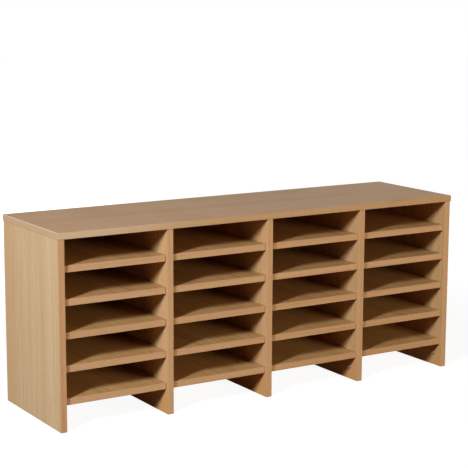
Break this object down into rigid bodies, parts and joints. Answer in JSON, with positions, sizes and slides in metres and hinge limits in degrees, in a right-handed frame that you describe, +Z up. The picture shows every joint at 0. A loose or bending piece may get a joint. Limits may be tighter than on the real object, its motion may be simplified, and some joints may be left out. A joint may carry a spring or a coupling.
{
  "type": "pigeonhole mail sorter",
  "caption": "Desk-standing mail sorter in beech-faced board: columns of open letter compartments with loose shelves on pins, a back panel, and legs that leave an open space below.",
  "frame": {"origin": "bottom centre of the overall box, on the surface the sorter stands on", "axes": "+X along the width to the right seen from the front, +Y from the front to the rear, +Z up"},
  "size_m": [1.294, 0.352, 0.528],
  "materials": {
    "beech_board": "beech-effect melamine, fine satin",
    "beech_edging": "beech-effect edge banding, satin",
    "back_board": "dark brown faced board, matt",
    "plated_steel": "zinc plated",
    "zinc_fitting": "die-cast zinc, dull",
    "dowel_beech": "plain turned beech",
    "block_plastic": "moulded, light brown"
  },
  "bodies": {
    "carcass": {"left_end_panel": "beech_board", "divider_1": "beech_board", "divider_2": "beech_board", "divider_3": "beech_board", "right_end_panel": "beech_board", "upright_edge_banding": "beech_edging", "top_panel": "beech_board", "top_edge_banding": "beech_edging", "back_panel": "back_board", "fixed_shelf_1": "beech_board", "fixed_shelf_2": "beech_board", "fixed_shelf_3": "beech_board", "fixed_shelf_4": "beech_board", "fixed_shelf_edge_banding": "beech_edging", "shelf_pins": "plated_steel", "dowels": "dowel_beech", "cam_bolts": "plated_steel", "shelf_cams": "zinc_fitting", "foot_cams": "zinc_fitting", "corner_blocks": "block_plastic"},
    "loose_shelf_col1_row1": {"shelf_col1_row1": "beech_board", "shelf_edge_col1_row1": "beech_edging"},
    "loose_shelf_col1_row2": {"shelf_col1_row2": "beech_board", "shelf_edge_col1_row2": "beech_edging"},
    "loose_shelf_col1_row3": {"shelf_col1_row3": "beech_board", "shelf_edge_col1_row3": "beech_edging"},
    "loose_shelf_col1_row4": {"shelf_col1_row4": "beech_board", "shelf_edge_col1_row4": "beech_edging"},
    "loose_shelf_col2_row1": {"shelf_col2_row1": "beech_board", "shelf_edge_col2_row1": "beech_edging"},
    "loose_shelf_col2_row2": {"shelf_col2_row2": "beech_board", "shelf_edge_col2_row2": "beech_edging"},
    "loose_shelf_col2_row3": {"shelf_col2_row3": "beech_board", "shelf_edge_col2_row3": "beech_edging"},
    "loose_shelf_col2_row4": {"shelf_col2_row4": "beech_board", "shelf_edge_col2_row4": "beech_edging"},
    "loose_shelf_col3_row1": {"shelf_col3_row1": "beech_board", "shelf_edge_col3_row1": "beech_edging"},
    "loose_shelf_col3_row2": {"shelf_col3_row2": "beech_board", "shelf_edge_col3_row2": "beech_edging"},
    "loose_shelf_col3_row3": {"shelf_col3_row3": "beech_board", "shelf_edge_col3_row3": "beech_edging"},
    "loose_shelf_col3_row4": {"shelf_col3_row4": "beech_board", "shelf_edge_col3_row4": "beech_edging"},
    "loose_shelf_col4_row1": {"shelf_col4_row1": "beech_board", "shelf_edge_col4_row1": "beech_edging"},
    "loose_shelf_col4_row2": {"shelf_col4_row2": "beech_board", "shelf_edge_col4_row2": "beech_edging"},
    "loose_shelf_col4_row3": {"shelf_col4_row3": "beech_board", "shelf_edge_col4_row3": "beech_edging"},
    "loose_shelf_col4_row4": {"shelf_col4_row4": "beech_board", "shelf_edge_col4_row4": "beech_edging"}
  },
  "joints": [
    {"name": "slide_col1_row1", "type": "slide", "parent": "carcass", "child": "loose_shelf_col1_row1", "axis": [0, -1, 0], "range_m": [0, 0.33]},
    {"name": "slide_col1_row2", "type": "slide", "parent": "carcass", "child": "loose_shelf_col1_row2", "axis": [0, -1, 0], "range_m": [0, 0.33]},
    {"name": "slide_col1_row3", "type": "slide", "parent": "carcass", "child": "loose_shelf_col1_row3", "axis": [0, -1, 0], "range_m": [0, 0.33]},
    {"name": "slide_col1_row4", "type": "slide", "parent": "carcass", "child": "loose_shelf_col1_row4", "axis": [0, -1, 0], "range_m": [0, 0.33]},
    {"name": "slide_col2_row1", "type": "slide", "parent": "carcass", "child": "loose_shelf_col2_row1", "axis": [0, -1, 0], "range_m": [0, 0.33]},
    {"name": "slide_col2_row2", "type": "slide", "parent": "carcass", "child": "loose_shelf_col2_row2", "axis": [0, -1, 0], "range_m": [0, 0.33]},
    {"name": "slide_col2_row3", "type": "slide", "parent": "carcass", "child": "loose_shelf_col2_row3", "axis": [0, -1, 0], "range_m": [0, 0.33]},
    {"name": "slide_col2_row4", "type": "slide", "parent": "carcass", "child": "loose_shelf_col2_row4", "axis": [0, -1, 0], "range_m": [0, 0.33]},
    {"name": "slide_col3_row1", "type": "slide", "parent": "carcass", "child": "loose_shelf_col3_row1", "axis": [0, -1, 0], "range_m": [0, 0.33]},
    {"name": "slide_col3_row2", "type": "slide", "parent": "carcass", "child": "loose_shelf_col3_row2", "axis": [0, -1, 0], "range_m": [0, 0.33]},
    {"name": "slide_col3_row3", "type": "slide", "parent": "carcass", "child": "loose_shelf_col3_row3", "axis": [0, -1, 0], "range_m": [0, 0.33]},
    {"name": "slide_col3_row4", "type": "slide", "parent": "carcass", "child": "loose_shelf_col3_row4", "axis": [0, -1, 0], "range_m": [0, 0.33]},
    {"name": "slide_col4_row1", "type": "slide", "parent": "carcass", "child": "loose_shelf_col4_row1", "axis": [0, -1, 0], "range_m": [0, 0.33]},
    {"name": "slide_col4_row2", "type": "slide", "parent": "carcass", "child": "loose_shelf_col4_row2", "axis": [0, -1, 0], "range_m": [0, 0.33]},
    {"name": "slide_col4_row3", "type": "slide", "parent": "carcass", "child": "loose_shelf_col4_row3", "axis": [0, -1, 0], "range_m": [0, 0.33]},
    {"name": "slide_col4_row4", "type": "slide", "parent": "carcass", "child": "loose_shelf_col4_row4", "axis": [0, -1, 0], "range_m": [0, 0.33]}
  ]
}
